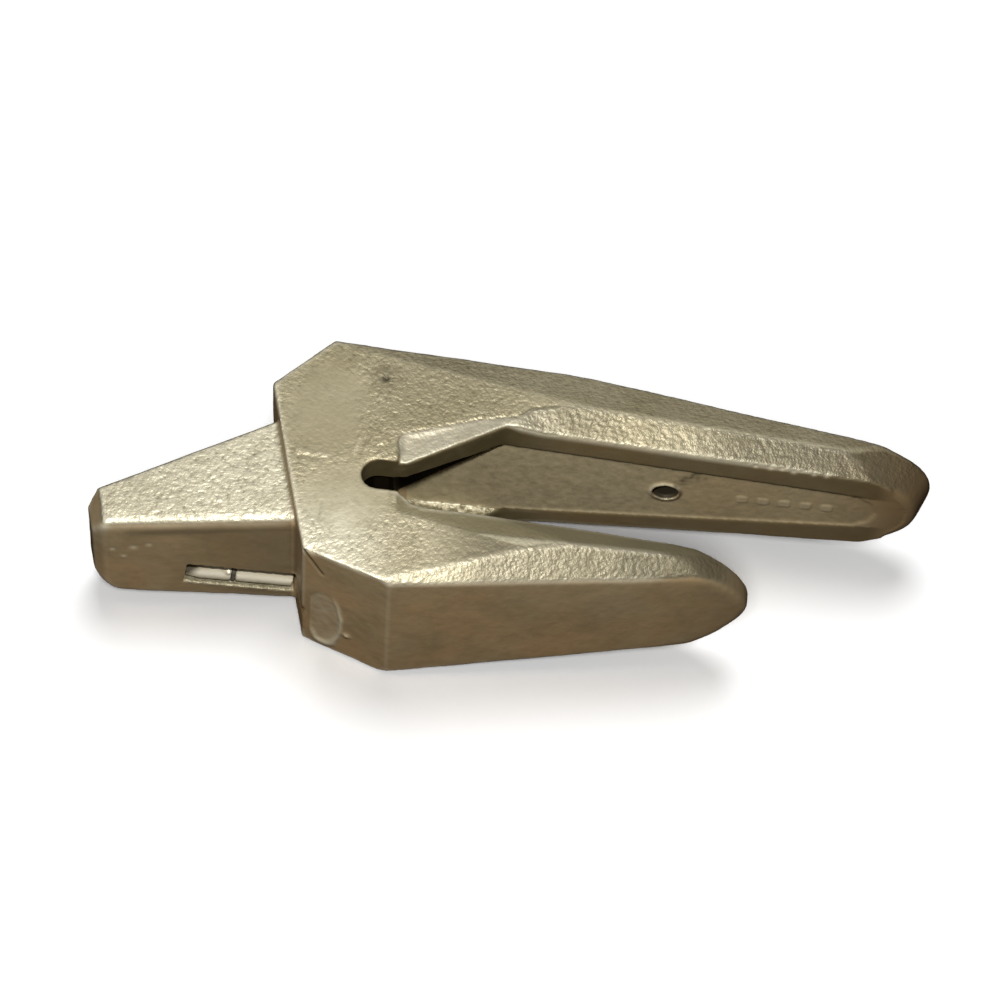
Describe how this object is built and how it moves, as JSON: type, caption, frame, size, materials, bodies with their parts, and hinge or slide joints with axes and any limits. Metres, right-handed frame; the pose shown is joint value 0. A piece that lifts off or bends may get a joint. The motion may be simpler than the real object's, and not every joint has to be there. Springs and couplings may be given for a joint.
{
  "type": "two-strap bucket tooth adapter",
  "caption": "Weld-on adapter casting: a tapered nose for a wear point, a shoulder, and a long and a short strap that clamp a bucket lip, with a split locking key in the nose.",
  "frame": {"origin": "middle of the lip gap, on the centre plane of the width, level with the line where the long strap's inner face starts to slope towards the shoulder", "axes": "+X along the lip towards the strap tips, +Y normal to the lip towards the long strap, +Z across the width, upwards as the part lies on its side"},
  "size_m": [0.3276, 0.1096, 0.073],
  "materials": {
    "cast_steel": "satin khaki-bronze coating on rough cast steel",
    "key_steel": "satin",
    "key_rubber": "matte"
  },
  "bodies": {
    "adapter": {"adapter_casting": "cast_steel"},
    "locking_key": {"key_front": "key_steel", "key_rear": "key_steel", "key_rubber": "key_rubber"}
  },
  "joints": [
    {"name": "key_drive", "type": "slide", "parent": "adapter", "child": "locking_key", "axis": [-0.2689, 0.9632, 0], "range_m": [0, 0.03]}
  ]
}
